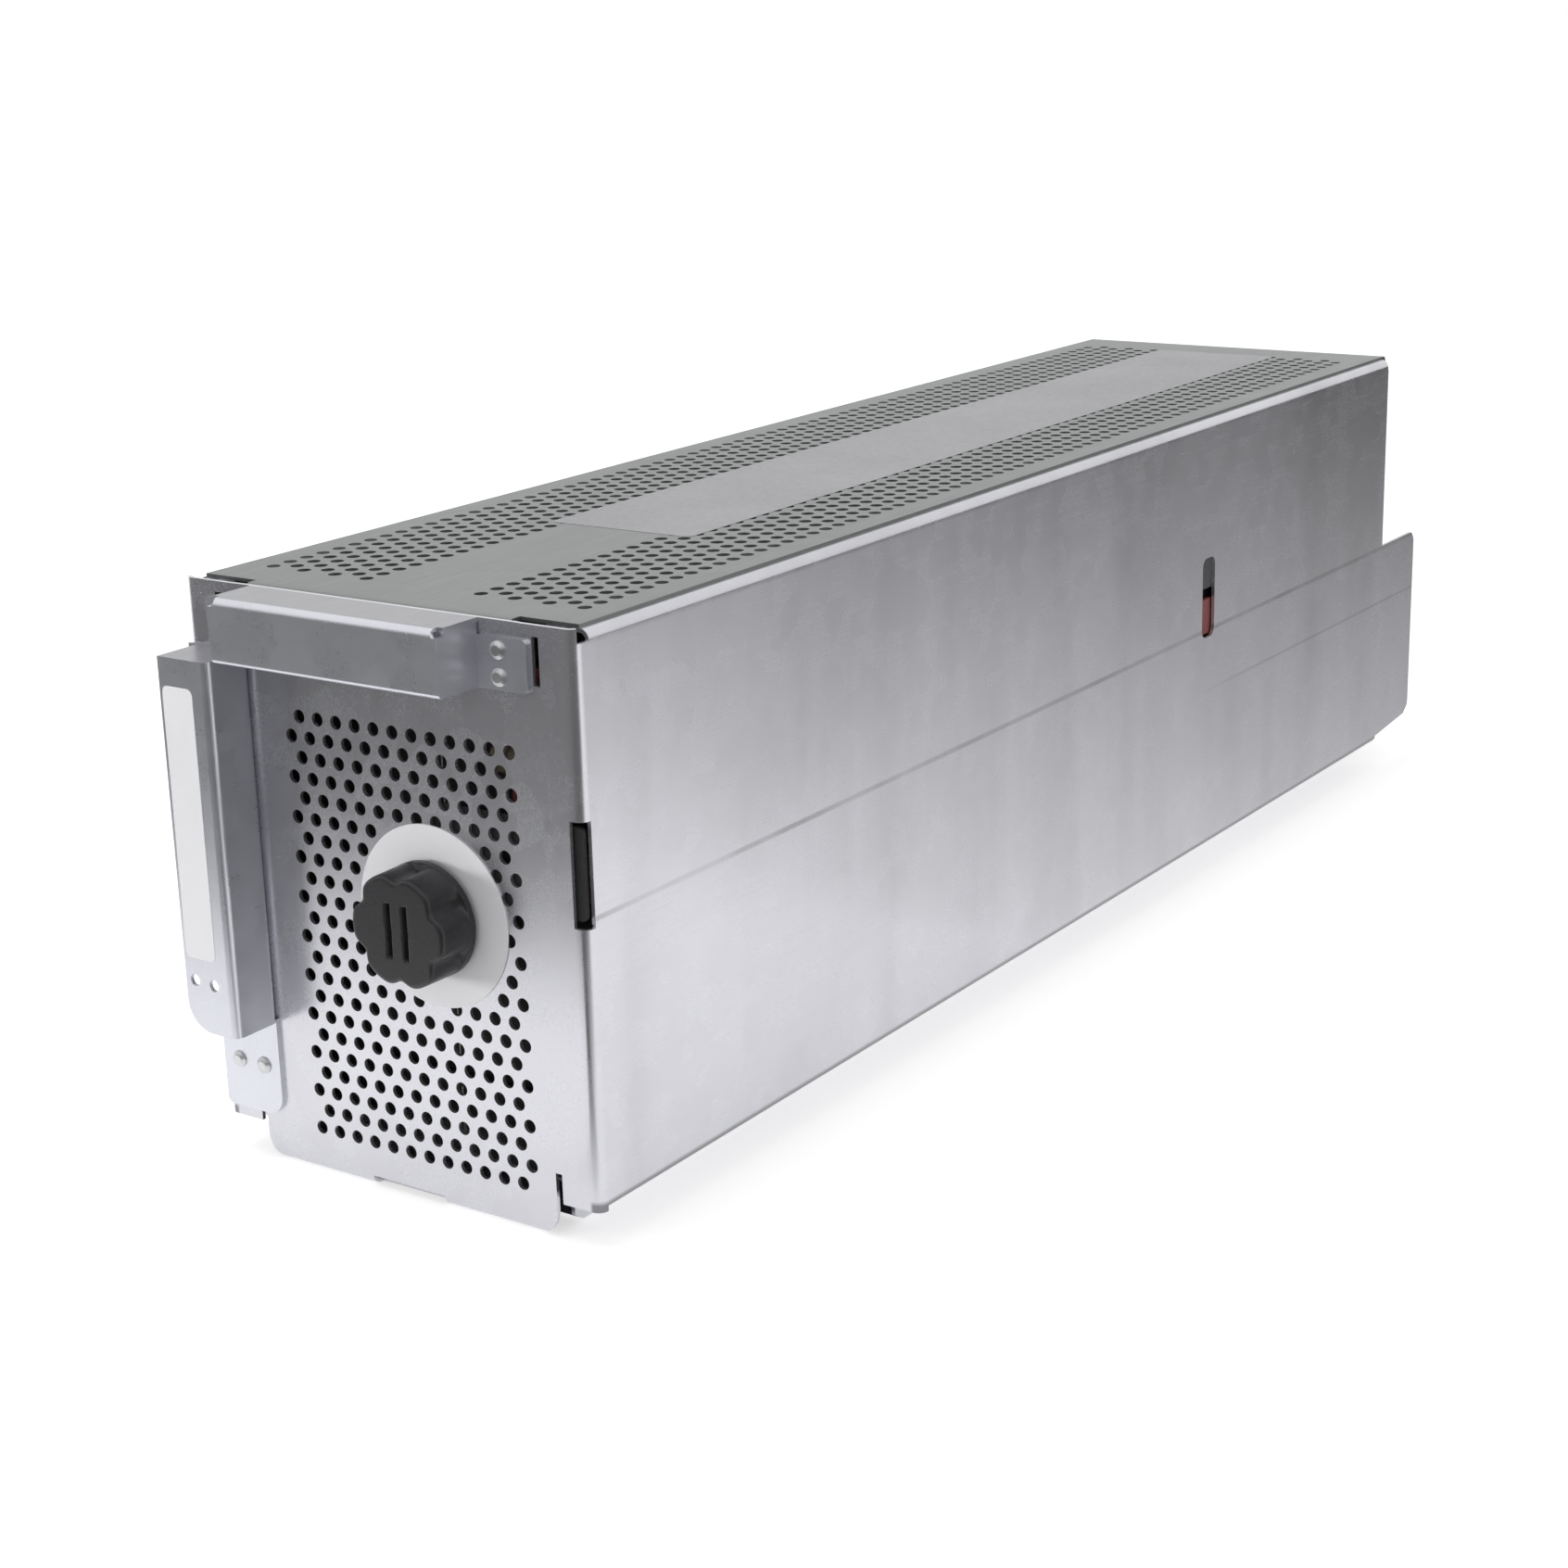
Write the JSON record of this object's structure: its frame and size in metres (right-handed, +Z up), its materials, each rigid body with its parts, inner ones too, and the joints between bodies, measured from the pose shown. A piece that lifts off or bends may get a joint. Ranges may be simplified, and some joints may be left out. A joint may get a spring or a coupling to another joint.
{
  "type": "ups battery cartridge",
  "caption": "Slide-in UPS battery cartridge: galvanised sheet case with perforated front, two pull handles, a turn knob that drives a side bolt, and a rear plug-in connector.",
  "frame": {"origin": "under the middle of the overall box, on the underside of the keel", "axes": "+Y from the front face with the handles to the rear connector, +Z up, +X to the right seen from the front"},
  "size_m": [0.139, 0.5856, 0.173],
  "materials": {
    "galvanised": "galvanised sheet, satin",
    "cover_steel": "galvanised sheet, slightly darker",
    "handle_steel": "galvanised sheet, satin",
    "rivet_steel": "bright steel",
    "knob_plastic": "fine moulded texture",
    "escutcheon_plastic": "smooth, pale grey",
    "mechanism_steel": "zinc plated",
    "bush_brass": "turned",
    "battery_case": "moulded, slightly rough",
    "insulation_red": "sleeve, satin",
    "insulation_black": "sleeve, satin",
    "foam_grey": "closed-cell foam",
    "insulator_sheet": "thin plastic sheet",
    "fuse_ceramic": "glazed tube with plated caps",
    "connector_plastic": "moulded",
    "contact_metal": "plated"
  },
  "bodies": {
    "housing": {"battery_01": "battery_case", "battery_02": "battery_case", "battery_03": "battery_case", "battery_04": "battery_case", "battery_05": "battery_case", "battery_06": "battery_case", "battery_07": "battery_case", "battery_08": "battery_case", "battery_09": "battery_case", "battery_10": "battery_case", "battery_deck": "galvanised", "bottom_insulator": "insulator_sheet", "bottom_links": "insulation_black", "case_wrap": "galvanised", "centre_separator": "insulator_sheet", "connector_screws": "rivet_steel", "cover_screws": "rivet_steel", "escutcheon": "escutcheon_plastic", "fuse_strap": "insulation_red", "guide_studs": "mechanism_steel", "keel_channel": "galvanised", "knob_bush": "bush_brass", "left_side_pad": "foam_grey", "main_fuse": "fuse_ceramic", "negative_busbar": "insulation_black", "positive_busbar": "insulation_red", "power_connector": "connector_plastic", "power_contacts": "contact_metal", "rear_foam": "foam_grey", "rear_panel": "galvanised", "rear_rivets": "rivet_steel", "right_side_pad": "foam_grey", "side_handle": "handle_steel", "side_handle_rivets": "rivet_steel", "signal_connector": "connector_plastic", "top_cover": "cover_steel", "top_foam": "foam_grey", "top_handle": "handle_steel", "top_handle_rivets": "rivet_steel", "top_links": "insulation_black"},
    "knob": {"locking_knob": "knob_plastic", "knob_shaft": "mechanism_steel", "drive_cam": "mechanism_steel", "retaining_clip": "mechanism_steel"},
    "bolt": {"latch_bolt": "mechanism_steel"}
  },
  "joints": [
    {"name": "knob_turn", "type": "hinge", "parent": "housing", "child": "knob", "pos_m": [0.0162, -0.27615, 0.087], "axis": [0, 1, 0], "range_deg": [0, 90]},
    {"name": "bolt_slide", "type": "slide", "parent": "housing", "child": "bolt", "axis": [1, 0, 0], "range_m": [0, 0.01131]}
  ],
  "couplings": [
    {"joint": "bolt_slide", "follows": "knob_turn", "m_per_rad": 0.0072025}
  ]
}
